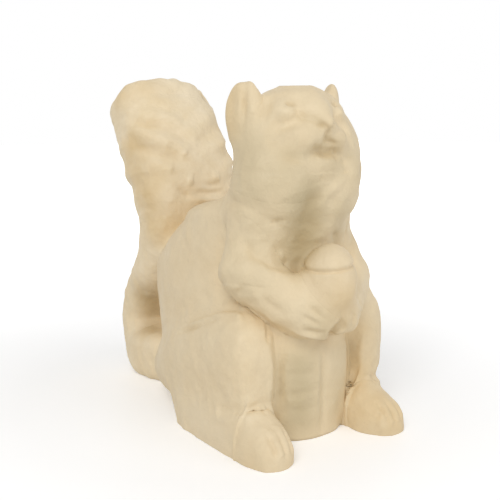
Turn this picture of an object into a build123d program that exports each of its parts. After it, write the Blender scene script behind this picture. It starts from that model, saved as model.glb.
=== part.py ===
"""Seated squirrel holding a nut: a small ornament cast in cream resin.

The figure faces -Y and stands on Z = 0. The origin lies on the ground in the
middle of the figure's outline. Every casting is a form drawn through oval
sections; neighbours meet face to face along the creases that show outside,
and hidden pegs on one casting sit in sockets of the next.
"""

from build123d import *
from math import cos, pi, sin
import os

# Place of the body's own axis ahead of the origin
BODY_FORWARD = 11.8

# Torso, from the ground to the top of the neck
TORSO_HEIGHT = 78.0
TORSO_WIDTH = 45.0
TORSO_DEPTH = 66.0
# height, front, back, width and fullness of each section
TORSO_SHARES = [
    (0.00, -0.48, 0.47, 0.36, 2.5),
    (0.13, -0.48, 0.50, 0.45, 2.6),
    (0.31, -0.47, 0.50, 0.50, 2.6),
    (0.46, -0.43, 0.52, 0.50, 2.6),
    (0.57, -0.385, 0.53, 0.48, 2.6),
    (0.67, -0.365, 0.43, 0.455, 2.6),
    (0.75, -0.375, 0.30, 0.44, 2.6),
    (0.82, -0.40, 0.20, 0.42, 2.5),
    (0.853, -0.418, 0.045, 0.39, 2.3),
    (0.90, -0.43, -0.10, 0.365, 2.2),
    (1.00, -0.44, -0.185, 0.31, 2.0),
]

# Belly roll between the haunches
BELLY_HEIGHT = 34.0
BELLY_WIDTH = 32.0
BELLY_DEPTH = 28.0
BELLY_FRONT = 34.4
BELLY_SHARES = [
    (0.00, 0.06, 1.00, 0.44, 2.3),
    (0.22, 0.02, 1.00, 0.48, 2.4),
    (0.48, 0.00, 1.00, 0.50, 2.5),
    (0.79, 0.02, 1.00, 0.49, 2.4),
    (1.00, 0.15, 0.95, 0.41, 2.2),
]

# Tuft of the chest that hangs behind the nut
TUFT_WIDTH = 18.0
TUFT_DEPTH = 11.0
TUFT_HEIGHT = 26.0
TUFT_FORWARD = 25.0
TUFT_LIFT = 52.0

# Head: skull with its cheeks and muzzle
HEAD_HEIGHT = 34.5
HEAD_WIDTH = 37.0
HEAD_DEPTH = 27.0
HEAD_FORWARD = 20.5
HEAD_LIFT = 65.0
# height, lean to the back, depth, width and fullness of each section
HEAD_SHARES = [
    (0.00, 0.00, 0.33, 0.28, 2.0),
    (0.10, 0.00, 0.39, 0.40, 2.1),
    (0.25, 0.02, 0.43, 0.46, 2.2),
    (0.45, 0.05, 0.44, 0.49, 2.2),
    (0.60, 0.055, 0.43, 0.475, 2.2),
    (0.74, 0.04, 0.40, 0.42, 2.2),
    (0.86, 0.01, 0.34, 0.35, 2.2),
    (0.94, -0.01, 0.26, 0.27, 2.2),
    (1.00, -0.02, 0.14, 0.14, 2.0),
]
CHEEK_WIDTH = 22.8
CHEEK_DEPTH = 23.2
CHEEK_HEIGHT = 23.2
CHEEK_SPREAD = 8.4
CHEEK_FORWARD = 22.8
CHEEK_LIFT = 76.0
MUZZLE_WIDTH = 19.0
MUZZLE_DEPTH = 14.0
MUZZLE_HEIGHT = 12.5
MUZZLE_FORWARD = 28.6
MUZZLE_LIFT = 85.0

# Ears: upright leaves turned a little outward
EAR_HEIGHT = 18.0
EAR_WIDTH = 12.4
EAR_THICKNESS = 5.0
EAR_SPREAD = 15.2
EAR_FORWARD = 17.6
EAR_TOP = 100.3
EAR_TURN = 58.0
# height, lean to the back, width and thickness of each section
EAR_SHARES = [
    (0.00, -0.12, 0.32, 0.46),
    (0.30, -0.04, 0.46, 0.52),
    (0.60, 0.02, 0.50, 0.48),
    (0.86, -0.06, 0.40, 0.38),
    (1.00, -0.14, 0.18, 0.18),
]

# Arms: shoulder, elbow and hand centres, and the thicknesses
SHOULDER_SPREAD = 15.5
SHOULDER_FORWARD = 18.0
SHOULDER_HEIGHT = 67.0
LEFT_ELBOW_SPREAD = 21.4
LEFT_ELBOW_HEIGHT = 43.0
RIGHT_ELBOW_SPREAD = 18.8
RIGHT_ELBOW_HEIGHT = 47.4
ELBOW_FORWARD = 22.0
HAND_SPREAD = 4.0
HAND_FORWARD = 36.5
HAND_HEIGHT = 35.2
UPPER_ARM_THICKNESS = 12.0
FOREARM_WIDTH = 12.6
FOREARM_HEIGHT = 14.8
# place along the limb and its share of the thickness
UPPER_ARM_SHARES = [
    (-0.08, 0.28),
    (0.08, 0.44),
    (0.40, 0.49),
    (0.75, 0.53),
    (1.00, 0.55),
    (1.17, 0.36),
]
FOREARM_SHARES = [
    (-0.16, 0.22),
    (0.02, 0.42),
    (0.25, 0.48),
    (0.50, 0.50),
    (0.75, 0.47),
    (1.00, 0.38),
    (1.16, 0.20),
]

# Nut held against the chest
NUT_WIDTH = 14.6
NUT_DEPTH = 16.0
NUT_HEIGHT = 20.0
NUT_FORWARD = 36.5
NUT_LIFT = 46.0
# height and girth of each section of the nut, then of its cap
NUT_SHARES = [
    (0.00, 0.16),
    (0.06, 0.28),
    (0.18, 0.41),
    (0.36, 0.49),
    (0.52, 0.50),
    (0.68, 0.46),
    (0.82, 0.36),
    (0.92, 0.22),
]
NUT_CAP_SHARES = [
    (0.72, 0.40),
    (0.76, 0.46),
    (0.84, 0.44),
    (0.94, 0.32),
    (1.00, 0.14),
]

# Haunches: the folded thighs
HAUNCH_LENGTH = 61.5
HAUNCH_WIDTH = 25.0
HAUNCH_HEIGHT = 38.3
HAUNCH_OUTSIDE = 28.2
HAUNCH_FORWARD = 33.0
# place from the front, inner and outer side, bottom and top of each section
HAUNCH_SHARES = [
    (0.000, 0.42, 0.20, 0.40, 0.66),
    (0.024, 0.56, 0.09, 0.30, 0.83),
    (0.096, 0.72, 0.015, 0.22, 0.95),
    (0.224, 0.90, 0.00, 0.18, 1.00),
    (0.384, 0.97, 0.00, 0.15, 0.97),
    (0.544, 0.97, 0.03, 0.13, 0.89),
    (0.704, 0.97, 0.08, 0.10, 0.74),
    (0.832, 0.97, 0.18, 0.09, 0.58),
    (0.944, 0.93, 0.36, 0.13, 0.43),
    (1.000, 0.85, 0.55, 0.19, 0.34),
]

# Feet: long flat soles under the haunches
FOOT_LENGTH = 50.0
FOOT_WIDTH = 13.2
FOOT_HEIGHT = 13.2
LEFT_FOOT_SPREAD = 18.4
LEFT_FOOT_FORWARD = 45.8
RIGHT_FOOT_SPREAD = 21.5
RIGHT_FOOT_FORWARD = 44.8
SOLE_DROP = 2.0
# place from the toes, outward lean, width and height of each section
FOOT_SHARES = [
    (0.000, 0.02, 0.18, 0.17),
    (0.024, 0.03, 0.33, 0.33),
    (0.070, 0.04, 0.43, 0.48),
    (0.150, 0.02, 0.50, 0.62),
    (0.280, 0.00, 0.50, 0.77),
    (0.460, 0.00, 0.50, 0.86),
    (0.700, 0.00, 0.46, 0.77),
    (0.920, -0.02, 0.36, 0.52),
    (1.000, -0.03, 0.20, 0.26),
]

# Tail: out along the ground, up behind the back, and over into the plume
TAIL_REACH = 69.0
TAIL_HEIGHT = 103.0
TAIL_WIDTH = 36.8
TAIL_THICKNESS = 28.0
# back and height of the points that its middle line runs through
TAIL_PATH_SHARES = [
    (0.290, 0.087),
    (0.580, 0.073),
    (0.797, 0.092),
    (0.884, 0.172),
    (0.819, 0.277),
    (0.667, 0.383),
    (0.572, 0.495),
    (0.565, 0.631),
    (0.655, 0.796),
    (0.843, 0.990),
]
# place along the line, width and thickness of each section
TAIL_SECTION_SHARES = [
    (0.000, 0.245, 0.25),
    (0.050, 0.285, 0.265),
    (0.100, 0.33, 0.275),
    (0.150, 0.375, 0.285),
    (0.185, 0.39, 0.30),
    (0.220, 0.395, 0.31),
    (0.290, 0.37, 0.31),
    (0.350, 0.345, 0.295),
    (0.420, 0.335, 0.285),
    (0.490, 0.345, 0.29),
    (0.560, 0.375, 0.32),
    (0.620, 0.425, 0.385),
    (0.690, 0.47, 0.45),
    (0.760, 0.495, 0.48),
    (0.830, 0.505, 0.48),
    (0.900, 0.50, 0.46),
    (0.945, 0.47, 0.415),
    (0.975, 0.385, 0.32),
    (1.000, 0.19, 0.15),
]

# Pegs and their sockets
PEG_CLEARANCE = 0.2
NECK_PEG_DIAMETER = 12.0
NECK_PEG_LENGTH = 14.0
ARM_PEG_DIAMETER = 5.0
ARM_PEG_LENGTH = 11.0
ARM_PEG_TURN = 45.0
HAUNCH_PEG_DIAMETER = 8.0
HAUNCH_PEG_LENGTH = 14.0
FOOT_PEG_DIAMETER = 4.0
FOOT_PEG_LENGTH = 12.0
FOOT_PEG_SHARE = 0.2
TAIL_PEG_DIAMETER = 7.0
TAIL_PEG_LENGTH = 18.0
EAR_PEG_DIAMETER = 2.4
EAR_PEG_LENGTH = 9.0
EAR_PEG_LEAN = 37.0
NUT_PEG_DIAMETER = 4.0
NUT_PEG_LENGTH = 19.0

# Number of points round one section, and the fullness of nut, limbs and tail
OVAL_POINTS = 16
ROUND_FULLNESS = 2.0
LIMB_FULLNESS = 2.1
BLOCK_FULLNESS = 2.4

LEFT = 1
RIGHT = -1


def oval_points(half_width, half_height, fullness):
    """Points round an oval: fullness 2 gives an ellipse, more is squarer."""
    points = []
    for step in range(OVAL_POINTS):
        angle = 2 * pi * step / OVAL_POINTS
        across = abs(cos(angle)) ** (2 / fullness)
        along = abs(sin(angle)) ** (2 / fullness)
        x = across * half_width if cos(angle) > 0 else -across * half_width
        y = along * half_height if sin(angle) > 0 else -along * half_height
        points.append((x, y))
    return points


def sectioned_form(sections):
    """Closed form through a row of oval sections, each (plane, half width, half height, fullness)."""
    with BuildPart() as form:
        for plane, half_width, half_height, fullness in sections:
            with BuildSketch(plane):
                with BuildLine():
                    Spline(*oval_points(half_width, half_height, fullness), periodic=True)
                make_face()
        loft()
    return form.part


def ball_form(centre, width, depth, height):
    """Ellipsoid of the given overall sizes about its centre."""
    ball = scale(Sphere(1, mode=Mode.PRIVATE), by=(width / 2, depth / 2, height / 2), mode=Mode.PRIVATE)
    return Pos(*centre) * ball


def level_plane(x, y, z):
    """Level section plane with its width across the figure."""
    return Plane(origin=(x, y, z), x_dir=(1, 0, 0), z_dir=(0, 0, 1))


def limb_form(start, end, width, thickness, shares):
    """Straight limb from start to end with its sections square to it."""
    direction = Vector(*end) - Vector(*start)
    sections = []
    for along_share, thick_share in shares:
        origin = Vector(*start) + direction * along_share
        plane = Plane(origin=origin, x_dir=Vector(0, 0, 1).cross(direction), z_dir=direction)
        sections.append((plane, width * thick_share, thickness * thick_share, LIMB_FULLNESS))
    return sectioned_form(sections)


def peg(seat):
    """Round peg of a seat, which is (root, direction, diameter, length)."""
    root, direction, diameter, length = seat
    foot_at_root = (Align.CENTER, Align.CENTER, Align.MIN)
    rod = Cylinder(diameter / 2, length, align=foot_at_root, mode=Mode.PRIVATE)
    return Plane(origin=root, z_dir=direction) * rod


def socket(seat):
    """Hole for a seat's peg, wider and deeper by the clearance."""
    root, direction, diameter, length = seat
    return peg((root, direction, diameter + 2 * PEG_CLEARANCE, length + PEG_CLEARANCE))


def torso_form():
    """Body with its belly roll and chest tuft, before any socket."""
    sections = []
    for height, front, back, width, fullness in TORSO_SHARES:
        middle = (front + back) / 2 * TORSO_DEPTH
        plane = level_plane(0, middle - BODY_FORWARD, height * TORSO_HEIGHT)
        sections.append((plane, width * TORSO_WIDTH, (back - front) / 2 * TORSO_DEPTH, fullness))
    body = sectioned_form(sections)
    sections = []
    for height, front, back, width, fullness in BELLY_SHARES:
        middle = (front + back) / 2 * BELLY_DEPTH
        plane = level_plane(0, middle - BELLY_FRONT - BODY_FORWARD, height * BELLY_HEIGHT)
        sections.append((plane, width * BELLY_WIDTH, (back - front) / 2 * BELLY_DEPTH, fullness))
    tuft_centre = (0, -TUFT_FORWARD - BODY_FORWARD, TUFT_LIFT)
    tuft = ball_form(tuft_centre, TUFT_WIDTH, TUFT_DEPTH, TUFT_HEIGHT)
    return body + sectioned_form(sections) + tuft


def head_form():
    """Skull, the two cheeks and the muzzle in one."""
    sections = []
    for height, lean, depth, width, fullness in HEAD_SHARES:
        y = lean * HEAD_DEPTH - HEAD_FORWARD - BODY_FORWARD
        plane = level_plane(0, y, HEAD_LIFT + height * HEAD_HEIGHT)
        sections.append((plane, width * HEAD_WIDTH, depth * HEAD_DEPTH, fullness))
    form = sectioned_form(sections)
    for side in (LEFT, RIGHT):
        centre = (side * CHEEK_SPREAD, -CHEEK_FORWARD - BODY_FORWARD, CHEEK_LIFT)
        form = form + ball_form(centre, CHEEK_WIDTH, CHEEK_DEPTH, CHEEK_HEIGHT)
    centre = (0, -MUZZLE_FORWARD - BODY_FORWARD, MUZZLE_LIFT)
    return form + ball_form(centre, MUZZLE_WIDTH, MUZZLE_DEPTH, MUZZLE_HEIGHT)


def ear_base(side):
    """Middle of an ear where it leaves the skull."""
    return (side * EAR_SPREAD, -EAR_FORWARD - BODY_FORWARD, EAR_TOP - EAR_HEIGHT)


def ear_form(side):
    """Upright leaf that narrows to a rounded tip."""
    x, y, z = ear_base(side)
    turn = EAR_TURN * pi / 180
    across = (side * cos(turn), sin(turn), 0)
    sections = []
    for height, lean, width, thickness in EAR_SHARES:
        origin = Vector(x, y, z + height * EAR_HEIGHT) + Vector(*across) * (lean * EAR_WIDTH)
        plane = Plane(origin=origin, x_dir=across, z_dir=(0, 0, 1))
        sections.append((plane, width * EAR_WIDTH, thickness * EAR_THICKNESS, LIMB_FULLNESS))
    return sectioned_form(sections)


def shoulder_point(side):
    return (side * SHOULDER_SPREAD, -SHOULDER_FORWARD - BODY_FORWARD, SHOULDER_HEIGHT)


def elbow_point(side):
    spread = LEFT_ELBOW_SPREAD if side == LEFT else RIGHT_ELBOW_SPREAD
    height = LEFT_ELBOW_HEIGHT if side == LEFT else RIGHT_ELBOW_HEIGHT
    return (side * spread, -ELBOW_FORWARD - BODY_FORWARD, height)


def hand_point(side):
    return (side * HAND_SPREAD, -HAND_FORWARD - BODY_FORWARD, HAND_HEIGHT)


def arm_form(side):
    """Upper arm down the flank and forearm forward under the nut."""
    thickness = UPPER_ARM_THICKNESS
    upper = limb_form(shoulder_point(side), elbow_point(side), thickness, thickness, UPPER_ARM_SHARES)
    fore = limb_form(elbow_point(side), hand_point(side), FOREARM_WIDTH, FOREARM_HEIGHT, FOREARM_SHARES)
    return upper + fore


def arm_seat(side):
    """Seat half way down the upper arm, towards the body."""
    root = (Vector(*shoulder_point(side)) + Vector(*elbow_point(side))) / 2
    turn = ARM_PEG_TURN * pi / 180
    return root, Vector(-side * cos(turn), sin(turn), 0), ARM_PEG_DIAMETER, ARM_PEG_LENGTH


def haunch_form(side):
    """Thigh from the knee in front back to the rump."""
    sections = []
    for along, inner, outer, low, high in HAUNCH_SHARES:
        y = along * HAUNCH_LENGTH - HAUNCH_FORWARD - BODY_FORWARD
        near = HAUNCH_OUTSIDE - inner * HAUNCH_WIDTH
        far = HAUNCH_OUTSIDE - outer * HAUNCH_WIDTH
        origin = (side * (near + far) / 2, y, (low + high) / 2 * HAUNCH_HEIGHT)
        plane = Plane(origin=origin, x_dir=(1, 0, 0), z_dir=(0, -1, 0))
        half_height = (high - low) / 2 * HAUNCH_HEIGHT
        sections.append((plane, (far - near) / 2, half_height, BLOCK_FULLNESS))
    return sectioned_form(sections)


def haunch_seat(side):
    """Seat in the middle of the thigh, towards the body."""
    x = side * (HAUNCH_OUTSIDE - HAUNCH_PEG_DIAMETER / 2)
    root = Vector(x, HAUNCH_LENGTH / 2 - HAUNCH_FORWARD - BODY_FORWARD, HAUNCH_HEIGHT / 2)
    return root, Vector(-side, 0, 0), HAUNCH_PEG_DIAMETER, HAUNCH_PEG_LENGTH


def foot_spread(side):
    return LEFT_FOOT_SPREAD if side == LEFT else RIGHT_FOOT_SPREAD


def foot_forward(side):
    return LEFT_FOOT_FORWARD if side == LEFT else RIGHT_FOOT_FORWARD


def foot_form(side):
    """Foot with a rounded instep; the sole is cut flat later."""
    sections = []
    for along, lean, width, height in FOOT_SHARES:
        x = side * (foot_spread(side) + lean * FOOT_WIDTH)
        origin = (x, along * FOOT_LENGTH - foot_forward(side) - BODY_FORWARD, SOLE_DROP)
        plane = Plane(origin=origin, x_dir=(1, 0, 0), z_dir=(0, -1, 0))
        sections.append((plane, width * FOOT_WIDTH, height * FOOT_HEIGHT, BLOCK_FULLNESS))
    return sectioned_form(sections)


def foot_seat(side):
    """Seat in the outer half of the instep, upwards into the haunch."""
    x = side * (foot_spread(side) + FOOT_PEG_SHARE * FOOT_WIDTH)
    root = Vector(x, FOOT_LENGTH / 2 - foot_forward(side) - BODY_FORWARD, FOOT_HEIGHT / 2)
    return root, Vector(0, 0, 1), FOOT_PEG_DIAMETER, FOOT_PEG_LENGTH


def tail_point(back, height):
    """Point in the figure's middle plane from its two shares."""
    return Vector(0, back * TAIL_REACH - BODY_FORWARD, height * TAIL_HEIGHT)


def tail_form():
    """Tail through sections square to its own curve."""
    path = Spline(*[tail_point(back, height) for back, height in TAIL_PATH_SHARES])
    sections = []
    for along, width, thickness in TAIL_SECTION_SHARES:
        place = along * path.length
        origin = path.position_at(place, position_mode=PositionMode.LENGTH)
        direction = path.tangent_at(place, position_mode=PositionMode.LENGTH)
        plane = Plane(origin=origin, x_dir=(1, 0, 0), z_dir=direction)
        sections.append((plane, width * TAIL_WIDTH, thickness * TAIL_THICKNESS, BLOCK_FULLNESS))
    return sectioned_form(sections)


def tail_seat():
    """Seat in the part of the tail that lies on the ground, forward into the rump."""
    back, height = TAIL_PATH_SHARES[1]
    return tail_point(back, height), Vector(0, -1, 0), TAIL_PEG_DIAMETER, TAIL_PEG_LENGTH


def nut_form():
    """Egg-shaped nut with a shallow cap."""
    forms = []
    for shares in (NUT_SHARES, NUT_CAP_SHARES):
        sections = []
        for height, girth in shares:
            z = NUT_LIFT + height * NUT_HEIGHT - NUT_HEIGHT / 2
            plane = level_plane(0, -NUT_FORWARD - BODY_FORWARD, z)
            sections.append((plane, girth * NUT_WIDTH, girth * NUT_DEPTH, ROUND_FULLNESS))
        forms.append(sectioned_form(sections))
    return forms[0] + forms[1]


def nut_seat():
    """Seat from the middle of the nut back into the chest."""
    root = Vector(0, -NUT_FORWARD - BODY_FORWARD, NUT_LIFT)
    return root, Vector(0, 1, 0), NUT_PEG_DIAMETER, NUT_PEG_LENGTH


def neck_seat():
    """Seat in the top of the neck, upwards into the head."""
    height, front, back, width, fullness = TORSO_SHARES[-1]
    y = (front + back) / 2 * TORSO_DEPTH - BODY_FORWARD
    root = Vector(0, y, TORSO_HEIGHT - NECK_PEG_LENGTH / 2)
    return root, Vector(0, 0, 1), NECK_PEG_DIAMETER, NECK_PEG_LENGTH


def ear_seat(side):
    """Seat low in the ear, down and inward into the skull."""
    x, y, z = ear_base(side)
    lean = EAR_PEG_LEAN * pi / 180
    root = Vector(x, y, z + EAR_HEIGHT / 2)
    return root, Vector(-side * sin(lean), 0, -cos(lean)), EAR_PEG_DIAMETER, EAR_PEG_LENGTH


body_shape = torso_form()
head_shape = head_form()
nut_shape = nut_form()
tail_shape = tail_form()
haunch_shapes = {side: haunch_form(side) for side in (LEFT, RIGHT)}
foot_shapes = {side: foot_form(side) for side in (LEFT, RIGHT)}
arm_shapes = {side: arm_form(side) for side in (LEFT, RIGHT)}
ear_shapes = {side: ear_form(side) for side in (LEFT, RIGHT)}

os.makedirs("parts", exist_ok=True)

with BuildPart() as nut:
    add(nut_shape)
    add(body_shape, mode=Mode.SUBTRACT)
    add(peg(nut_seat()))

with BuildPart() as torso:
    add(body_shape)
    add(peg(neck_seat()))
    add(socket(nut_seat()), mode=Mode.SUBTRACT)
    add(socket(tail_seat()), mode=Mode.SUBTRACT)
    for side in (LEFT, RIGHT):
        add(socket(arm_seat(side)), mode=Mode.SUBTRACT)
        add(socket(haunch_seat(side)), mode=Mode.SUBTRACT)

with BuildPart() as head:
    add(head_shape)
    add(body_shape, mode=Mode.SUBTRACT)
    add(socket(neck_seat()), mode=Mode.SUBTRACT)
    for side in (LEFT, RIGHT):
        add(socket(ear_seat(side)), mode=Mode.SUBTRACT)

with BuildPart() as tail:
    add(tail_shape)
    split(bisect_by=Plane.XY, keep=Keep.TOP)
    add(body_shape, mode=Mode.SUBTRACT)
    for side in (LEFT, RIGHT):
        add(haunch_shapes[side], mode=Mode.SUBTRACT)
    add(peg(tail_seat()))

for name, piece in (("nut", nut), ("torso", torso), ("head", head), ("tail", tail)):
    piece.part.label = name
    export_step(piece.part, "parts/" + name + ".step")

for side, word in ((LEFT, "left"), (RIGHT, "right")):
    own_half = Keep.TOP if side == LEFT else Keep.BOTTOM

    with BuildPart() as ear:
        add(ear_shapes[side])
        add(head_shape, mode=Mode.SUBTRACT)
        add(peg(ear_seat(side)))

    with BuildPart() as foot:
        add(foot_shapes[side])
        split(bisect_by=Plane.XY, keep=Keep.TOP)
        add(body_shape, mode=Mode.SUBTRACT)
        add(peg(foot_seat(side)))

    with BuildPart() as haunch:
        add(haunch_shapes[side])
        split(bisect_by=Plane.XY, keep=Keep.TOP)
        add(body_shape, mode=Mode.SUBTRACT)
        add(foot_shapes[side], mode=Mode.SUBTRACT)
        add(socket(foot_seat(side)), mode=Mode.SUBTRACT)
        add(peg(haunch_seat(side)))

    with BuildPart() as arm:
        add(arm_shapes[side])
        split(bisect_by=Plane.YZ, keep=own_half)
        add(body_shape, mode=Mode.SUBTRACT)
        add(head_shape, mode=Mode.SUBTRACT)
        add(haunch_shapes[side], mode=Mode.SUBTRACT)
        add(nut.part, mode=Mode.SUBTRACT)
        add(peg(arm_seat(side)))

    for name, piece in (("ear", ear), ("foot", foot), ("haunch", haunch), ("arm", arm)):
        piece.part.label = word + "_" + name
        export_step(piece.part, "parts/" + word + "_" + name + ".step")
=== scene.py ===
"""Seated squirrel figurine of cream resin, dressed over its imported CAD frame.

Lengths are millimetres about the body's own axis until a surface becomes a mesh.
Each casting is the skin of a soft form: rays leave a spine inside the form and
stop where the form's distance, rounded into its neighbours, reaches zero.
Creases, lumps and fur are then raised or sunk along the skin's own normals.
"""
import bpy
import numpy as np
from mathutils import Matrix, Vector


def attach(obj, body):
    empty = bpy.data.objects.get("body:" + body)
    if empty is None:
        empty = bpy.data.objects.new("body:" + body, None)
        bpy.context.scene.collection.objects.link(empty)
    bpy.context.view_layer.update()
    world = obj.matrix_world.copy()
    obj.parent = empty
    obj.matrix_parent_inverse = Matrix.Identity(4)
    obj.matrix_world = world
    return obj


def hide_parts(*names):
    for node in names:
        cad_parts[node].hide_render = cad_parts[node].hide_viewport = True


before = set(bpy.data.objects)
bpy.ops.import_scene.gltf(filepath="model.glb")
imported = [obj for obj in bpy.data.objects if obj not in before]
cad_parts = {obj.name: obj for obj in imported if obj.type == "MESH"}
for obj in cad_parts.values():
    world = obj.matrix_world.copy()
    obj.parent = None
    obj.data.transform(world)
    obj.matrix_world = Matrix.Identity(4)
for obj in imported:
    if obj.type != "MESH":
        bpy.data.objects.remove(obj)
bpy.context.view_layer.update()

MM = 0.001
BODY_FORWARD = 11.8  # the body's own axis stands this far in front of the frame's origin
GROUND = 0.0
UP, ACROSS, BACK = (0, 0, 1), (1, 0, 0), (0, 1, 0)
LEFT, RIGHT = 1, -1
NO_LENGTH, NO_GAP = 1e-9, 1e-6
SHORT_STEP = 0.01  # share of a form's length over which its slope is taken


def vec(*values):
    return np.array(values, float)


def unit(v):
    return v / np.maximum(np.linalg.norm(v, axis=-1, keepdims=True), NO_LENGTH)


def ramp(value, start, end):
    """Share of the way from start to end, held between 0 and 1."""
    return np.clip((value - start) / (end - start), 0, 1)


def table_at(rows, t):
    """Smooth cubic through the rows of a table whose first column is the place."""
    rows = np.array(rows, float)
    x, y = rows[:, 0], rows[:, 1:]
    slope = np.gradient(y, x, axis=0)
    t = np.clip(t, x[0], x[-1])
    k = np.clip(np.searchsorted(x, t, side="right") - 1, 0, len(x) - 2)
    h = (x[k + 1] - x[k])[..., None]
    s = ((t - x[k]) / (x[k + 1] - x[k]))[..., None]
    return (
        (2 * s**3 - 3 * s**2 + 1) * y[k]
        + (s**3 - 2 * s**2 + s) * h * slope[k]
        + (3 * s**2 - 2 * s**3) * y[k + 1]
        + (s**3 - s**2) * h * slope[k + 1]
    )


# Soft forms and their distances

class Stack:
    """Form through oval sections set along a straight axis.

    Rows: place on the axis, shift across, shift up, half width, half height, fullness.
    Its distance is the gap to the oval of the same place, measured from the oval's
    centre, eased by the slope of the side; past an end the gap along the axis joins it.
    """

    def __init__(self, origin, axis, across, rows):
        self.origin, self.axis = vec(*origin), unit(vec(*axis))
        self.across = unit(vec(*across) - np.dot(vec(*across), self.axis) * self.axis)
        self.up = np.cross(self.axis, self.across)
        self.rows = np.array(rows, float)
        self.low, self.high = self.rows[0, 0], self.rows[-1, 0]

    def distance(self, p):
        d = p - self.origin
        t = d @ self.axis
        inside = np.clip(t, self.low, self.high)
        sizes = table_at(self.rows, inside)
        step = SHORT_STEP * (self.high - self.low)
        ahead = table_at(self.rows, inside + step)
        behind = table_at(self.rows, inside - step)
        slope = (ahead[..., 2] + ahead[..., 3] - behind[..., 2] - behind[..., 3]) / (4 * step)
        x = np.abs(d @ self.across - sizes[..., 0]) + NO_GAP
        y = np.abs(d @ self.up - sizes[..., 1]) + NO_GAP
        full = sizes[..., 4]
        ratio = ((x / sizes[..., 2]) ** full + (y / sizes[..., 3]) ** full) ** (1 / full)
        gap = np.hypot(x, y) * (1 - 1 / ratio) / np.sqrt(1 + slope**2)
        past = np.maximum(t - self.high, self.low - t)
        return np.where(past > 0, np.hypot(np.maximum(gap, 0), past), np.maximum(gap, past))


class Ball:
    """Ellipsoid turned about its upright by some degrees.

    Its distance is the usual estimate from the scaled radius and its slope.
    """

    def __init__(self, centre, radii, turn=0.0):
        self.centre, self.radii = vec(*centre), vec(*radii)
        c, s = np.cos(np.radians(turn)), np.sin(np.radians(turn))
        self.axes = np.stack([vec(c, s, 0), vec(-s, c, 0), vec(*UP)])

    def distance(self, p):
        d = ((p - self.centre) @ self.axes.T) / self.radii
        near = np.linalg.norm(d, axis=-1) + NO_LENGTH
        return near * (near - 1) / (np.linalg.norm(d / self.radii, axis=-1) + NO_LENGTH)


class Blend:
    """Several forms rounded into one with a fillet of the given size."""

    def __init__(self, size, *forms):
        self.size, self.forms = size, forms

    def distance(self, p):
        total = self.forms[0].distance(p)
        for form in self.forms[1:]:
            other = form.distance(p)
            near = np.clip(1 - np.abs(total - other) / self.size, 0, 1)
            total = np.minimum(total, other) - self.size * near**2 / 4
        return total


# A skin that lies under a neighbour follows it by this share, down to this depth
FOLLOWED_SHARE, FOLLOWED_DEPTH = 0.6, 0.7


def rounded(own, neighbours):
    """Distance of a form filled towards its neighbours.

    Each neighbour is a form and the size of the fillet, or that size's function of place.
    Where a neighbour lies further out the skin keeps close under it for a little way
    before it dives, so the two skins meet without a step.
    """

    def distance(p):
        gap = own.distance(p)
        fill, under = np.zeros(gap.shape), np.zeros(gap.shape)
        for form, size in neighbours:
            size = size(p) if callable(size) else size
            other = form.distance(p)
            near = np.clip(1 - np.abs(gap - other) / size, 0, 1)
            fill = np.maximum(fill, size * near**2 / 4)
            under = np.maximum(under, gap - other)
        return gap - fill - FOLLOWED_SHARE * np.minimum(under, FOLLOWED_DEPTH)

    return distance


# Rays, and the skin they find

def spine_rays(spine, around, along, caps):
    """Rays round a spine: backwards at its start, square to it between, forwards at its end.

    spine is a table (place, x, y, z); caps are the shares of the rows given to each end.
    """
    row = np.linspace(0, 1, along)
    first, last = caps
    place = np.clip((row - first) / (1 - first - last), 0, 1)
    turn = np.pi / 2 * (np.clip((row - 1 + last) / last, 0, 1) - np.clip(1 - row / first, 0, 1))
    spine = np.array(spine, float)
    place = spine[0, 0] + place * (spine[-1, 0] - spine[0, 0])
    origin = table_at(spine, place)
    tangent = unit(table_at(spine, place + SHORT_STEP) - table_at(spine, place - SHORT_STEP))
    side = unit(vec(*ACROSS) - (tangent @ vec(*ACROSS))[:, None] * tangent)
    up = np.cross(tangent, side)
    angle = np.linspace(0, 2 * np.pi, around, endpoint=False)
    ring = np.cos(angle)[None, :, None] * side[:, None] + np.sin(angle)[None, :, None] * up[:, None]
    ray = np.cos(turn)[:, None, None] * ring + np.sin(turn)[:, None, None] * tangent[:, None]
    return np.broadcast_to(origin[:, None], ray.shape), ray


def resample(values, rows, around):
    """A coarse closed grid of numbers carried smoothly onto a finer one."""
    fine = np.linspace(0, len(values) - 1, rows)
    k = np.clip(fine.astype(int), 0, len(values) - 2)
    part = (fine - k)[:, None]
    values = values[k] * (1 - part) + values[k + 1] * part
    count = values.shape[1]
    fine = np.arange(around) * count / around
    k = fine.astype(int)
    part = fine - k
    return values[:, k % count] * (1 - part) + values[:, (k + 1) % count] * part


COARSE = 4  # one ray in so many is searched from the start
STEPS, HALVINGS, TRIES = 14, 7, 4
LONGEST_MOVE = 1.0
LEAST_RATE, MOST_RATE = 0.2, 3.0


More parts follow.
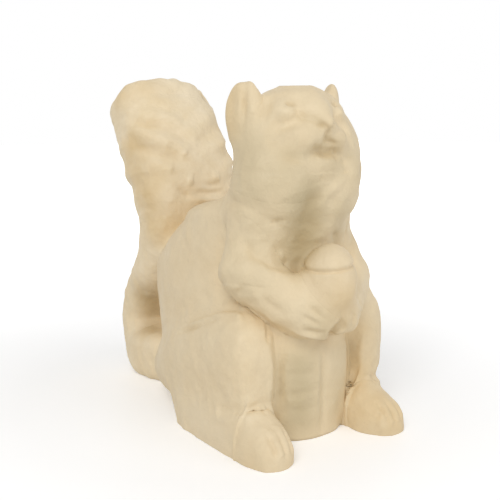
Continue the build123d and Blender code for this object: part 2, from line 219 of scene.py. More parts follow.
def cast(origin, ray, distance, reach):
    """First place along each ray where the distance turns from inside to outside.

    A coarse grid of rays is searched by steps and halvings; every ray then starts
    from its coarse neighbours and closes in by the secant of its last two tries.
    """
    rows, around = ray.shape[:2]
    coarse_rows = np.linspace(0, rows - 1, rows // COARSE).round().astype(int)
    pick = np.ix_(coarse_rows, np.arange(0, around, COARSE))
    few, start = ray[pick], origin[pick]
    low = np.zeros(few.shape[:2])
    high = np.full(few.shape[:2], float(reach))
    found = np.zeros(few.shape[:2], bool)
    for k in range(1, STEPS + 1):
        out = distance(start + reach * k / STEPS * few) > 0
        new = out & ~found
        high[new] = reach * k / STEPS
        low[new] = reach * (k - 1) / STEPS
        found |= out
    for k in range(HALVINGS):
        middle = (low + high) / 2
        out = distance(start + middle[..., None] * few) > 0
        high = np.where(out, middle, high)
        low = np.where(out, low, middle)
    last = resample((low + high) / 2, rows, around)
    gap_last = distance(origin + last[..., None] * ray)
    now = last - np.clip(gap_last, -LONGEST_MOVE, LONGEST_MOVE)
    for k in range(TRIES):
        gap = distance(origin + now[..., None] * ray)
        change = gap - gap_last
        changed = np.abs(change) > NO_GAP
        rate = np.where(changed, (now - last) / np.where(changed, change, 1), 0)
        last, gap_last = now, gap
        move = gap * np.clip(rate, LEAST_RATE, MOST_RATE)
        now = now - np.clip(move, -LONGEST_MOVE, LONGEST_MOVE)
    return origin + now[..., None] * ray


def skin_normals(p):
    """Outward normals of a closed grid from its two grid directions."""
    around = np.roll(p, -1, 1) - np.roll(p, 1, 1)
    along = np.gradient(p, axis=0)
    normal = unit(np.cross(around, along))
    normal[0] = unit(normal[1].mean(0))
    normal[-1] = unit(normal[-2].mean(0))
    return normal


# Relief of the surface

CELL_FACTORS = (374761393, 668265263, 2147483647)
SCRAMBLE = 1274126177
LOW_BITS = 0xFFFF


def hash_noise(cell):
    """Repeatable number from -1 to 1 for each whole-number cell: its low bits after two scrambles."""
    n = sum(cell[..., k] * factor for k, factor in enumerate(CELL_FACTORS)).astype(np.int64)
    n = (n ^ (n >> 13)) * SCRAMBLE
    n = (n ^ (n >> 16)) & LOW_BITS
    return n / (LOW_BITS / 2) - 1


def noise(p):
    """Smooth noise: the corner values of each unit cell, eased between."""
    base = np.floor(p).astype(np.int64)
    f = p - base
    f = f * f * f * (f * (f * 6 - 15) + 10)
    total = 0
    for dx in (0, 1):
        for dy in (0, 1):
            for dz in (0, 1):
                weight = (
                    (f[..., 0] if dx else 1 - f[..., 0])
                    * (f[..., 1] if dy else 1 - f[..., 1])
                    * (f[..., 2] if dz else 1 - f[..., 2])
                )
                total = total + weight * hash_noise(base + np.array([dx, dy, dz]))
    return total


marks = []


def mark(height, width, *points):
    """Raised (+) or sunk (-) stroke of the modelling tool through the points."""
    marks.append((height, width, np.array(points, float)))


def both(height, width, *points):
    """The same stroke on the figure's right and, mirrored, on its left."""
    mark(height, width, *points)
    mark(height, width, *[(-x, y, z) for x, y, z in points])


def tufts(count, raised, sunk, width, first, last):
    """Row of short strokes on both sides, raised and sunk in turn.

    first and last are the outermost strokes, each given by its top and its tip.
    """
    first, last = np.array(first, float), np.array(last, float)
    for k in range(count):
        top, tip = first + (last - first) * k / (count - 1)
        both(sunk if k % 2 else raised, width, top, tip)


def stroke_gap(p, points):
    """Distance from each place to a bent line, and how far along it (0 to 1) the nearest place lies."""
    if len(points) == 1:
        return np.linalg.norm(p - points[0], axis=1), np.full(len(p), 0.5)
    lengths = np.linalg.norm(np.diff(points, axis=0), axis=1)
    before = np.concatenate([[0], np.cumsum(lengths)])
    gap = np.full(len(p), np.inf)
    place = np.zeros(len(p))
    for k, length in enumerate(lengths):
        step = points[k + 1] - points[k]
        share = np.clip((p - points[k]) @ step / length**2, 0, 1)
        away = np.linalg.norm(p - points[k] - share[:, None] * step, axis=1)
        nearer = away < gap
        gap = np.where(nearer, away, gap)
        place = np.where(nearer, (before[k] + share * length) / before[-1], place)
    return gap, place


STROKE_REACH = 3  # a stroke is felt this many widths away
END_HEIGHT, END_LENGTH = 0.35, 0.25  # share of its height at its ends, and of its length to get there


def stroke_relief(p):
    """Sum of all strokes: a bell of the stroke's width, eased to about a third at both ends."""
    total = np.zeros(len(p))
    for height, width, points in marks:
        low, high = points.min(0) - STROKE_REACH * width, points.max(0) + STROKE_REACH * width
        near = np.nonzero(np.all((p > low) & (p < high), axis=1))[0]
        if len(near):
            gap, place = stroke_gap(p[near], points)
            ease = END_HEIGHT + (1 - END_HEIGHT) * ramp(np.minimum(place, 1 - place), 0, END_LENGTH)
            total[near] += height * ease * np.exp(-((gap / width) ** 2))
    return total


LOCK_PITCH, LOCK_WAVER = 10.5, 1.6
LOCK_HEIGHT, LOCK_UNEVEN, TUFT_HEIGHT = 0.30, 0.25, 0.16
BODY_FUR, LOW_TAIL_FUR = 0.08, 0.12
LUMPS = [(6.5, 0, 0.26), (2.8, 9, 0.16)]  # size, shift of the noise, height


def fur_relief(p):
    """Soft tufts: noise drawn out along the lie of the fur, in locks that meet at the tail's middle.

    A lock is a wave of the place measured up the tail and outwards from its middle, bent by
    noise; a tuft is noise short across that lie and long along it.
    """
    x, y, z = np.abs(p[:, 0]), p[:, 1], p[:, 2]
    plume = ramp(y, 26, 31) * ramp(z, 44, 54)
    lock = z - 0.55 * x + 0.3 * y
    wave = np.sin(2 * np.pi * lock / LOCK_PITCH + LOCK_WAVER * noise(p / 8.0 + 3))
    locks = wave * (LOCK_HEIGHT + LOCK_UNEVEN * noise(p / 11.0 + 40))
    tuft = noise(np.stack([lock / 1.7, (x + 0.4 * z) / 6.0, p[:, 0] / 9.0 + 5], -1))
    low_tail = ramp(y, 34, 38) * (1 - plume)
    lie, over = y * 0.5 + z * 0.85, z * 0.5 - y * 0.85
    fur = noise(np.stack([over / 2.2, lie / 7.0, p[:, 0] / 4.0], -1))
    return plume * (locks + TUFT_HEIGHT * tuft) + (BODY_FUR + LOW_TAIL_FUR * low_tail) * (1 - plume) * fur


def detail(p):
    """Height of the modelled surface over the plain form, the same for every casting."""
    flat = p.reshape(-1, 3)
    lumps = sum(height * noise(flat / size + shift) for size, shift, height in LUMPS)
    return (lumps + fur_relief(flat) + stroke_relief(flat)).reshape(p.shape[:-1])


CAP_EDGE, CAP_TILT = 50.6, 0.12
CAP_SWELL, CAP_SOFT = 0.4, 0.35
GROOVE_DEPTH, GROOVE_BELOW, GROOVE_WIDTH = 0.75, 0.2, 0.55


def nut_relief(p):
    """The common relief with a groove under the cap, which swells a little over the nut."""
    edge = p[..., 2] - CAP_EDGE - CAP_TILT * p[..., 0]
    swell = CAP_SWELL / (1 + np.exp(-edge / CAP_SOFT))
    groove = GROOVE_DEPTH * np.exp(-((edge + GROOVE_BELOW) / GROOVE_WIDTH) ** 2)
    return detail(p) + swell - groove


# Painted patches of shade and light: which coat, its strength and reach, and its places
patches = []


def patch(coat, strength, reach, *places):
    patches.append((coat, strength, reach, np.array(places, float)))


def painted(coat, p):
    """Strength of a coat at every place: the strongest of its patches, fading with distance."""
    total = np.zeros(len(p))
    for name, strength, reach, places in patches:
        if name == coat:
            gap = stroke_gap(p, places)[0]
            total = np.maximum(total, strength * np.exp(-((gap / reach) ** 2)))
    return total


# Meshes

SUNK_SHADE = 0.35  # strength of the deep painted shade in sunk strokes
SUNK_START, SUNK_FULL = 0.5, 1.5  # depths where that begins and where it is full


def closed_mesh(name, p, height):
    """Closed skin from a grid whose first and last rows are single points, with its painted coats."""
    rows, around = p.shape[:2]
    points = np.vstack([p[0].mean(0)[None], p[1:-1].reshape(-1, 3), p[-1].mean(0)[None]])
    ring = np.arange(around)
    after = np.roll(ring, -1)
    start = 1 + np.arange(rows - 3)[:, None] * around
    quads = np.stack([start + ring, start + after, start + around + after, start + around + ring], -1)
    last = 1 + (rows - 3) * around
    first_fan = np.stack([np.zeros(around, int), 1 + after, 1 + ring], -1)
    last_fan = np.stack([np.full(around, len(points) - 1), last + ring, last + after], -1)
    faces = quads.reshape(-1, 4).tolist() + first_fan.tolist() + last_fan.tolist()
    mesh = bpy.data.meshes.new(name)
    place = (points - vec(0, BODY_FORWARD, 0)) * MM
    mesh.from_pydata(place.tolist(), [], faces)
    mesh.polygons.foreach_set("use_smooth", np.ones(len(mesh.polygons), bool))
    mesh.update()
    height = np.concatenate([[height[0].mean()], height[1:-1].ravel(), [height[-1].mean()]])
    # Coats of painted shade (deep, warm and greyish) and of painted light; sunk strokes also take the deep
    # painted shade
    coats = {coat: painted(coat, points) for coat in ("deep_shade", "warm_shade", "grey_shade", "painted_light")}
    coats["deep_shade"] = np.maximum(SUNK_SHADE * ramp(-height, SUNK_START, SUNK_FULL), coats["deep_shade"])
    for coat, strength in coats.items():
        layer = mesh.attributes.new(coat, "FLOAT", "POINT")
        layer.data.foreach_set("value", strength.astype(np.float32))
    return mesh


def casting(node, rays, distance, reach, slot, floor=None, finish=detail):
    """Makes one casting's skin, lays it over its CAD node and gives it its resin.

    The rays go no further than their reach; the skin is kept above the floor, where one is
    given; the finish is the height of the modelled surface over the plain form.
    """
    origin, ray = rays
    p = cast(origin, ray, distance, reach)
    normal = skin_normals(p)
    inward = np.sum(normal * (p - origin), axis=-1).mean() < 0
    if inward:
        normal = -normal
    height = finish(p)
    p = p + normal * height[..., None]
    if floor is not None:
        p[..., 2] = np.maximum(p[..., 2], floor)
    if inward:
        p, height = p[:, ::-1], height[:, ::-1]
    name = "squirrel_" + node
    mesh = closed_mesh(name, p, height)
    mesh.materials.append(resins[slot])
    piece = bpy.data.objects.new(name, mesh)
    bpy.context.scene.collection.objects.link(piece)
    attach(piece, "root")
    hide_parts(node)


# Torso, belly, ruff and head

torso_form = Stack((0, 0, 0), UP, ACROSS, [
    (0.0, 0, -0.3, 16.2, 31.4, 2.5),
    (10.1, 0, 0.7, 20.3, 32.3, 2.6),
    (24.2, 0, 1.0, 22.5, 32.0, 2.6),
    (35.9, 0, 3.0, 22.5, 31.4, 2.6),
    (44.5, 0, 4.8, 21.6, 30.2, 2.6),
    (52.3, 0, 2.1, 20.5, 26.2, 2.6),
    (58.5, 0, -2.5, 19.8, 22.3, 2.6),
    (64.0, 0, -6.7, 19.0, 19.7, 2.5),
    (66.5, 0, -12.3, 17.6, 15.3, 2.3),
    (70.2, 0, -17.5, 16.4, 10.9, 2.2),
    (76.0, 0, -20.6, 11.0, 6.4, 2.0),
])
belly_form = Stack((0, 0, 0), UP, ACROSS, [
    (0.0, 0, -19.6, 14.1, 13.2, 2.3),
    (7.5, 0, -20.1, 15.4, 13.7, 2.4),
    (16.3, 0, -20.4, 16.0, 14.0, 2.5),
    (26.9, 0, -20.1, 15.7, 13.7, 2.4),
    (34.0, 0, -19.0, 13.1, 11.2, 2.2),
])
skull_form = Stack((0, 0, 0), UP, ACROSS, [
    (56.0, 0, -19.5, 6.0, 5.0, 2.0),
    (61.0, 0, -20.0, 9.4, 7.4, 2.0),
    (65.0, 0.2, -20.4, 12.4, 9.4, 2.0),
    (68.5, 0.4, -20.5, 14.6, 10.5, 2.1),
    (73.6, 0.3, -19.8, 16.8, 11.6, 2.2),
    (80.5, 0.9, -19.6, 17.8, 11.0, 2.2),
    (85.7, 0.9, -19.5, 18.2, 10.7, 2.2),
    (90.5, 0.8, -19.7, 16.6, 10.4, 2.2),
    (94.7, 0.9, -20.2, 12.7, 9.2, 2.2),
    (97.3, 1.0, -20.7, 9.7, 7.2, 2.2),
    (99.1, 1.0, -21.0, 5.6, 4.2, 2.0),
])
left_cheek, right_cheek = [Ball((side * 8.4, -22.8, 76.0), (11.4, 11.6, 11.6)) for side in (LEFT, RIGHT)]
upper_cheek = Ball((11.5, -23.5, 83.0), (7.3, 7.3, 8.0))
snout = Ball((0, -26.4, 89.6), (6.6, 8.4, 7.6))
nose = Ball((0, -34.6, 88.6), (2.3, 1.9, 1.6))
left_pad = Ball((4.0, -31.2, 84.2), (4.9, 4.4, 4.3))
right_pad = Ball((-5.2, -30.8, 84.6), (6.2, 4.6, 4.7))
chin = Ball((0, -31.0, 78.0), (5.0, 4.0, 3.8))
left_brow = Ball((8.4, -26.6, 91.6), (3.3, 2.9, 2.9))
right_brow = Ball((-8.9, -27.1, 91.6), (3.3, 2.9, 2.9))
full_skull = Blend(4.0, skull_form, left_cheek, right_cheek, upper_cheek)
head_form = Blend(2.8, full_skull, snout, nose, left_pad, right_pad, chin, left_brow, right_brow)
bib_form = Blend(6.0, Ball((0, -20.5, 64.0), (13.5, 11.0, 12.0)), Ball((0, -24.0, 54.0), (9.5, 6.0, 13.0)))
left_mane = Ball((9.0, -20.5, 67.0), (7.6, 9.5, 8.6))
right_mane = Ball((-10.0, -21.0, 67.5), (8.2, 9.5, 8.8))
body_form = Blend(6.0, torso_form, belly_form, bib_form, left_mane, right_mane)


# Arms, haunches, feet, ears and nut

def limb(start, end, width, height, rows):
    """Straight limb; rows give the place from start to end and the girth."""
    start, end = vec(*start), vec(*end)
    long = np.linalg.norm(end - start)
    table = [(place * long, 0, 0, width * girth, height * girth, 2.1) for place, girth in rows]
    axis = end - start
    return Stack(start, axis, np.cross(vec(*UP), axis), table)


def arm(side):
    """Upper arm down the flank and forearm under the nut; the left elbow is lower and further out."""
    elbow = (20.2, -22, 42.0) if side == LEFT else (-18.8, -22, 47.4)
    upper = limb((side * 13.8, -19.2, 64.5), elbow, 12.0, 12.0, [
        (-0.08, 0.28), (0.08, 0.44), (0.4, 0.47), (0.75, 0.52), (1.0, 0.55), (1.17, 0.36)])
    fore = limb(elbow, (side * 4.0, -36.5, 35.2), 12.6, 14.8, [
        (-0.16, 0.22), (0.02, 0.42), (0.25, 0.48), (0.5, 0.5), (0.75, 0.47), (1.0, 0.38), (1.16, 0.2)])
    return Blend(5.0, upper, fore)


# Place from front to back, inner side, outer side, lowest and highest
haunch_rows = [
    (-33.0, 20.0, 21.5, 17.0, 21.0),
    (-32.6, 17.8, 23.6, 13.4, 25.6),
    (-31.6, 15.8, 25.6, 10.8, 29.4),
    (-29.6, 13.2, 27.1, 8.6, 33.2),
    (-26.0, 9.8, 28.0, 7.2, 36.6),
    (-20.0, 6.2, 28.2, 6.0, 38.4),
    (-10.0, 4.0, 28.2, 4.0, 37.2),
    (0.0, 4.0, 27.6, 2.6, 34.1),
    (10.0, 4.0, 26.0, 2.2, 28.6),
    (18.0, 4.0, 23.6, 2.6, 23.0),
    (25.0, 5.0, 19.5, 4.0, 17.0),
    (28.5, 8.0, 14.0, 7.0, 12.0),
]
KNEE_TOP = 30.0
LEFT_KNEE_OUT, LEFT_KNEE_UP = 1.0, 4.0
HAUNCH_FULL, LEFT_KNEE_FULL = 2.3, 2.7


def haunch(side):
    """Folded thigh, fuller over the left knee. A stack that runs back has its own up at minus z."""
    rows = []
    for y, inner, outer, low, high in haunch_rows:
        full = HAUNCH_FULL
        if side == LEFT and high > KNEE_TOP:
            outer, high, full = outer + LEFT_KNEE_OUT, high + LEFT_KNEE_UP, LEFT_KNEE_FULL
        rows.append((y, side * (inner + outer) / 2, -(low + high) / 2,
                     (outer - inner) / 2, (high - low) / 2, full))
    return Stack((0, 0, 0), BACK, ACROSS, rows)


# Share of the length from the toes, then lean outwards, half width and half height as shares of the width
foot_rows = [
    (0.000, 0.02, 0.18, 0.17),
    (0.024, 0.03, 0.33, 0.33),
    (0.070, 0.04, 0.43, 0.48),
    (0.150, 0.02, 0.54, 0.62),
    (0.280, 0.02, 0.53, 0.77),
    (0.460, 0.03, 0.51, 0.86),
    (0.700, 0.02, 0.48, 0.77),
    (0.920, 0.00, 0.37, 0.52),
    (1.000, 0.00, 0.20, 0.26),
]
FOOT_LONG, FOOT_WIDE, FOOT_MIDDLE, FOOT_FULL = 50, 13.2, 2.0, 2.4


def foot(side):
    """Long flat foot; the left one stands nearer the middle and a little further forward."""
    spread, toes = (18.2, -46.0) if side == LEFT else (22.2, -45.2)
    return Stack((0, 0, 0), BACK, ACROSS, [
        (along * FOOT_LONG + toes, side * (spread + lean * FOOT_WIDE), -FOOT_MIDDLE,
         width * FOOT_WIDE, height * FOOT_WIDE, FOOT_FULL)
        for along, lean, width, height in foot_rows])


EAR_TURN, LEFT_EAR_OUT = 58, 1.2


def ear(side):
    """Upright leaf of two balls, the front one set further in."""
    out = LEFT_EAR_OUT if side == LEFT else 0.0
    back = Ball((side * (16.1 + out), -16.6, 91.6), (3.9, 2.2, 8.0), side * EAR_TURN)
    front = Ball((side * (14.7 + out), -18.9, 92.6), (3.5, 2.5, 7.8), side * EAR_TURN)
    return Blend(2.0, back, front)


arm_forms = {side: arm(side) for side in (LEFT, RIGHT)}
haunch_forms = {side: haunch(side) for side in (LEFT, RIGHT)}
foot_forms = {side: foot(side) for side in (LEFT, RIGHT)}
ear_forms = {side: ear(side) for side in (LEFT, RIGHT)}
nut_form = Ball((0, -36.5, 46.0), (7.3, 8.0, 10.0))

# Tail: its spine (place, x, y, z), then its half width, half thickness and fullness at each place

tail_spine = [
    (0.000, 0, 20.0, 9.0),
    (0.144, 0, 40.0, 7.5),
    (0.252, 0, 55.0, 9.5),
    (0.324, 0, 59.8, 17.7),
    (0.407, 0, 56.5, 28.5),
    (0.515, 0, 46.0, 39.5),
    (0.608, 0, 39.5, 51.0),
    (0.709, 1.1, 39.0, 65.0),
    (0.836, -0.3, 45.2, 82.0),
    (0.940, -0.3, 51.8, 92.8),
]
tail_girth = [
    (0.000, 8.9, 7.0, 2.4),
    (0.050, 10.3, 7.4, 2.6),
    (0.100, 12.4, 8.6, 3.2),
    (0.150, 14.6, 9.0, 3.6),
    (0.220, 15.2, 9.2, 3.4),
    (0.290, 13.0, 8.2, 2.5),
    (0.350, 12.4, 7.8, 2.4),
    (0.420, 12.8, 7.9, 2.4),
    (0.490, 13.9, 8.1, 2.4),
    (0.560, 14.6, 9.0, 2.4),
    (0.620, 15.6, 10.8, 2.5),
    (0.690, 17.6, 12.8, 2.6),
    (0.760, 18.4, 13.4, 2.6),
    (0.830, 18.0, 13.4, 2.6),
    (0.880, 18.1, 13.0, 2.7),
    (0.940, 17.9, 11.8, 2.7),
]


class TailForm:
    """Tail along its bent spine; a point takes the sizes of the nearest spine place.

    Its distance is the gap to that place's oval, measured from the oval's centre; at the
    root and the tip the length of a rounded cap counts as a third direction.
    """

    PLACES, AT_ONCE = 200, 20000
    ROOT_CAP, TIP_CAP = 7.0, 10.0

    def __init__(self):
        place = np.linspace(0, tail_spine[-1][0], self.PLACES)
        self.spine = table_at(tail_spine, place)
        self.sizes = table_at(tail_girth, place)
        self.tangent = unit(np.gradient(self.spine, axis=0))

    def distance(self, p):
        shape = p.shape[:-1]
        q = p.reshape(-1, 3)
        nearest = np.empty(len(q), int)
        for start in range(0, len(q), self.AT_ONCE):
            part = q[start:start + self.AT_ONCE]
            away = (part[:, 1:2] - self.spine[:, 1]) ** 2 + (part[:, 2:] - self.spine[:, 2]) ** 2
            nearest[start:start + self.AT_ONCE] = away.argmin(1)
        d = q - self.spine[nearest]
        tangent = self.tangent[nearest]
        along = np.sum(d * tangent, -1)
        x = np.abs(d[:, 0]) + NO_GAP
        y = np.abs(d[:, 1] * -tangent[:, 2] + d[:, 2] * tangent[:, 1]) + NO_GAP
        wide, thick, full = self.sizes[nearest].T
        at_root, at_tip = nearest == 0, nearest == self.PLACES - 1
        end = np.where(at_root | at_tip, np.abs(along), 0)
        cap = np.where(at_tip, self.TIP_CAP, self.ROOT_CAP)
        ratio = ((x / wide) ** full + (y / thick) ** full + (end / cap) ** full) ** (1 / full)
        return (np.sqrt(x**2 + y**2 + end**2) * (1 - 1 / ratio)).reshape(shape)


tail_form = TailForm()

# Strokes: height, width, then the places that each goes through
# Eyes, fold over the snout, nose, lip, mouth and jaw
both(0.8, 1.7, (-9.3, -30.0, 91.6))
both(-0.9, 1.0, (-9.6, -28.6, 93.9), (-7.8, -28.8, 94.0), (-6.6, -29.0, 93.7))
both(-0.6, 1.0, (-6.4, -30.2, 91.4), (-5.4, -30.6, 90.2), (-3.8, -33.0, 89.7), (-2.0, -35.2, 89.4))
mark(-1.1, 0.8, (-3.0, -34.8, 88.8), (-1.7, -35.5, 88.4), (-0.4, -35.8, 88.0))
mark(-0.9, 0.8, (1.2, -36.0, 88.2))
mark(-0.9, 0.8, (-0.4, -36.0, 87.0), (-0.6, -35.0, 85.6), (-0.2, -35.0, 84.2))
both(0.5, 2.4, (-6.4, -33.6, 85.2))
mark(-0.9, 0.9, (-1.0, -35.0, 84.2), (1.2, -35.0, 84.0), (3.6, -34.6, 83.4))
mark(-1.4, 1.2, (-4.6, -34.4, 81.2), (-2.6, -34.0, 81.6), (-0.4, -34.0, 80.7),
     (2.4, -34.2, 81.1), (5.0, -34.2, 80.4))
mark(-0.8, 2.0, (-2.4, -34.4, 82.4), (3.6, -34.6, 82.2))
mark(-0.6, 1.0, (-4.2, -34.6, 84.0), (-4.6, -34.4, 81.8))
mark(-0.5, 0.9, (3.6, -34.2, 81.0), (4.4, -34.2, 79.0))
both(-0.7, 1.8, (-14.4, -31.0, 80.6), (-11.0, -33.2, 79.8), (-7.4, -34.2, 79.8))
mark(-0.6, 1.6, (7.0, -34.0, 79.8), (7.6, -34.0, 74.6))
mark(-0.6, 1.2, (-2.4, -34.0, 74.4), (-0.6, -34.0, 73.8))
both(0.35, 2.4, (-15.4, -30.4, 77.4), (-12.4, -32.4, 74.8))
both(-0.35, 1.4, (-13.8, -28.6, 90.0), (-14.8, -28.4, 86.0), (-14.4, -29.8, 82.0))
both(0.3, 1.6, (-11.8, -29.6, 88.0), (-12.4, -30.6, 84.6))
mark(0.4, 4.0, (-1.6, -31.0, 94.6))
# Fold of each ear and the groove where it leaves the skull
both(-1.1, 1.0, (-15.2, -18.8, 99.6), (-16.6, -19.8, 95.0), (-16.8, -20.0, 91.0), (-16.8, -20.4, 86.8))
both(-0.7, 1.4, (-12.2, -23.4, 96.4), (-13.2, -24.6, 92.6), (-15.0, -24.2, 88.6))
both(0.5, 1.6, (-15.4, -21.8, 94.6), (-15.8, -21.6, 91.0))
both(-0.4, 1.5, (-18.4, -16.4, 95.6), (-18.6, -16.4, 90.6))
# Ruff: ridges that hang from the cheeks over a hollow chest
both(1.0, 1.5, (-17.4, -28.4, 71.4), (-15.2, -29.6, 68.6), (-12.2, -30.4, 66.0), (-8.6, -31.2, 64.2))
both(0.5, 1.3, (-11.4, -33.2, 72.6), (-8.6, -33.4, 70.6), (-7.0, -33.0, 67.6), (-6.6, -31.4, 64.6))
mark(0.9, 1.4, (6.5, -34.1, 74.0), (3.6, -33.8, 71.4), (0.8, -33.2, 69.2), (-0.7, -32.5, 66.6),
     (0.6, -30.6, 61.0))
mark(-1.7, 5.0, (-4.6, -34.2, 72.0), (-4.0, -33.2, 68.6), (-3.6, -31.6, 64.0), (-4.2, -30.6, 58.0))
mark(-1.0, 3.2, (-4.6, -29.8, 60.0), (-4.4, -29.2, 52.0))
mark(-0.8, 1.6, (4.4, -33.4, 69.6), (3.4, -32.0, 65.0), (3.8, -30.0, 60.6))
mark(-1.3, 1.5, (-13.2, -29.6, 64.0), (-12.6, -29.2, 62.4))
mark(-1.3, 2.0, (8.0, -28.6, 58.6), (6.6, -28.8, 56.6))
mark(-0.7, 0.9, (-0.4, -30.2, 59.0), (0.6, -30.0, 56.4))
mark(0.5, 0.9, (-2.0, -30.2, 59.4), (-0.8, -30.0, 56.0))
mark(-1.3, 1.2, (10.0, -30.0, 64.0), (13.0, -27.6, 60.0), (15.4, -25.3, 55.0))
both(0.4, 2.2, (-19.6, -25.0, 66.0), (-18.0, -26.4, 61.0))
both(0.4, 1.6, (-15.8, -27.0, 62.4), (-14.2, -27.4, 58.0))
mark(1.5, 1.5, (-10.4, -26.4, 52.8), (-8.8, -26.8, 53.2))
mark(-1.2, 1.1, (-9.0, -27.0, 51.0), (-8.0, -27.2, 50.2))
# Arms: crease along the flank, line where the forearm leaves the chest, folds and fingers
both(-0.9, 1.2, (-20.4, -12.4, 58.4), (-20.4, -12.2, 50.0), (-20.6, -12.0, 43.0))
both(-0.9, 1.5, (-20.4, -24.8, 57.6), (-18.8, -27.0, 53.6), (-15.0, -29.0, 50.6), (-10.4, -29.4, 48.6))
both(0.4, 1.8, (-19.4, -28.0, 50.4), (-14.6, -30.6, 47.6), (-10.4, -33.6, 44.8))
both(-0.8, 1.2, (-22.8, -27.4, 45.4), (-24.2, -25.2, 42.2), (-23.6, -20.6, 39.2))
both(-0.4, 1.4, (-18.8, -31.4, 42.0), (-14.6, -34.2, 38.6))
mark(-0.7, 0.9, (-9.0, -38.4, 40.4), (-7.4, -39.8, 38.8), (-6.4, -40.4, 37.2))
mark(-0.6, 0.8, (-10.6, -37.6, 38.0), (-8.4, -39.2, 36.4), (-6.0, -39.8, 35.0))
mark(-0.9, 1.0, (-9.6, -37.4, 34.0), (-6.6, -39.0, 33.0), (-3.4, -39.4, 33.2))
mark(0.7, 0.9, (-12.0, -34.6, 33.0), (-7.7, -38.0, 31.6), (-3.0, -38.0, 31.0), (1.6, -38.2, 31.6),
     (6.0, -39.4, 33.8))
mark(-0.6, 0.9, (9.0, -38.0, 42.4), (10.8, -38.2, 39.4), (13.0, -37.2, 37.0))
mark(-0.7, 0.9, (8.6, -39.2, 35.2), (11.6, -37.6, 34.6), (14.6, -35.4, 34.8))
mark(-0.6, 0.8, (3.6, -40.6, 38.0), (5.4, -40.6, 35.8), (5.8, -40.0, 33.2))
# Haunches: arch along the top with a lip under it, rim towards the belly, fringe over the knee
both(-0.9, 1.4, (-24.7, -0.7, 30.1), (-23.7, -7.7, 33.2), (-21.6, -16.9, 37.0), (-19.6, -23.7, 38.5),
     (-16.8, -28.1, 36.2), (-13.5, -29.3, 32.5))
both(-1.0, 0.8, (-26.2, 0.6, 27.8), (-25.6, -8.4, 31.0), (-24.2, -16.6, 34.4), (-22.0, -22.0, 35.6))
both(0.7, 0.9, (-25.6, 0.4, 29.2), (-24.8, -8.2, 32.4), (-23.0, -16.8, 35.8), (-20.8, -23.0, 37.0))
both(0.6, 1.6, (-17.6, -31.8, 30.0), (-16.8, -32.6, 22.0), (-17.6, -33.0, 13.0))
both(-1.0, 1.5, (-13.0, -31.2, 30.4), (-13.4, -31.8, 20.5), (-13.2, -31.4, 10.0))
tufts(7, 0.8, -0.5, 0.9, first=[(-21.4, -23.6, 37.4), (-22.6, -25.4, 34.4)],
      last=[(-14.2, -29.8, 31.8), (-15.8, -31.0, 29.6)])
# Feet: crease over the instep, tufts under it and the parting of the toes
both(-0.8, 1.5, (-28.4, -20.4, 10.6), (-27.8, -25.6, 11.9), (-26.5, -31.0, 13.1), (-22.9, -32.7, 13.3),
     (-17.4, -33.0, 13.2))
both(0.5, 1.2, (-29.0, -20.9, 7.4), (-28.4, -28.6, 9.8), (-25.4, -33.9, 12.0), (-20.4, -34.6, 12.0))
tufts(6, 0.6, -0.4, 0.8, first=[(-28.4, -22.0, 11.4), (-28.6, -23.4, 9.2)],
      last=[(-20.8, -33.6, 13.2), (-21.0, -35.4, 11.8)])
for x in (-24.6, -21.6, -18.8):
    mark(-0.7, 0.8, (x - 0.6, -45.6, 3.4), (x - 0.4, -43.4, 6.6), (x, -39.6, 8.8))
for x in (21.4, 18.4, 15.6):
    mark(-0.7, 0.8, (x - 0.2, -46.6, 3.4), (x - 0.2, -44.4, 6.6), (x, -40.6, 8.8))
# Belly: casting seam down the middle and faint level folds
mark(0.6, 0.6, (-1.8, -34.6, 28.0), (-1.8, -35.0, 16.0), (-1.2, -34.2, 2.0))
mark(-0.7, 0.9, (-0.4, -34.6, 28.0), (-0.4, -35.0, 16.0), (0.2, -34.2, 2.0))
for z in (20.0, 14.0, 9.4):
    mark(-0.3, 1.1, (-12.0, -32.4, z + 0.4), (-7.0, -34.2, z), (-2.6, -34.8, z + 0.5))
mark(-1.2, 2.6, (14.6, -31.6, 26.0), (14.4, -31.8, 14.0))
# Tail: locks on the right, tufts over the hollow, folds of the waist, dent in the far top corner
mark(0.7, 2.2, (-18.4, 46.0, 88.8), (-15.6, 37.0, 86.0), (-9.2, 31.8, 82.8), (-5.0, 29.8, 80.2))
mark(-0.6, 1.4, (-18.4, 48.4, 91.0), (-15.2, 37.8, 89.0), (-9.6, 34.6, 89.0), (-6.4, 32.8, 86.6))
mark(-1.0, 2.2, (-18.6, 45.0, 83.6), (-14.8, 34.4, 80.8), (-9.4, 30.4, 79.2), (-5.6, 29.0, 77.6))
mark(0.8, 1.4, (-6.0, 29.4, 79.6), (-4.6, 29.0, 78.4))
mark(0.7, 1.5, (-11.4, 29.6, 74.4), (-9.8, 29.0, 73.8))
mark(0.8, 1.6, (-5.6, 27.2, 70.6), (-3.4, 27.0, 70.0))
mark(0.7, 1.8, (4.0, 27.0, 71.4), (7.4, 27.4, 71.0))
mark(-0.8, 0.9, (0.6, 26.8, 69.0), (3.6, 26.6, 68.4), (7.4, 26.8, 68.8))
mark(-0.8, 0.9, (-3.2, 26.6, 66.4), (2.0, 26.4, 65.8), (8.0, 26.6, 66.2))
mark(0.7, 1.1, (-5.2, 26.4, 64.2), (2.0, 26.2, 63.4), (10.4, 26.6, 63.2))
mark(-0.8, 1.2, (-9.4, 27.2, 68.4), (-7.2, 26.8, 66.2), (-4.4, 26.6, 64.6))
both(0.5, 2.4, (15.0, 34.0, 84.0), (9.6, 30.6, 80.6))
both(-0.6, 1.2, (-12.8, 46.6, 42.0), (-11.8, 39.8, 40.6))
both(-0.6, 1.2, (-12.4, 48.8, 34.4), (-10.0, 48.8, 29.4))
mark(-2.2, 6.0, (14.0, 43.0, 103.0), (18.0, 46.0, 101.0))
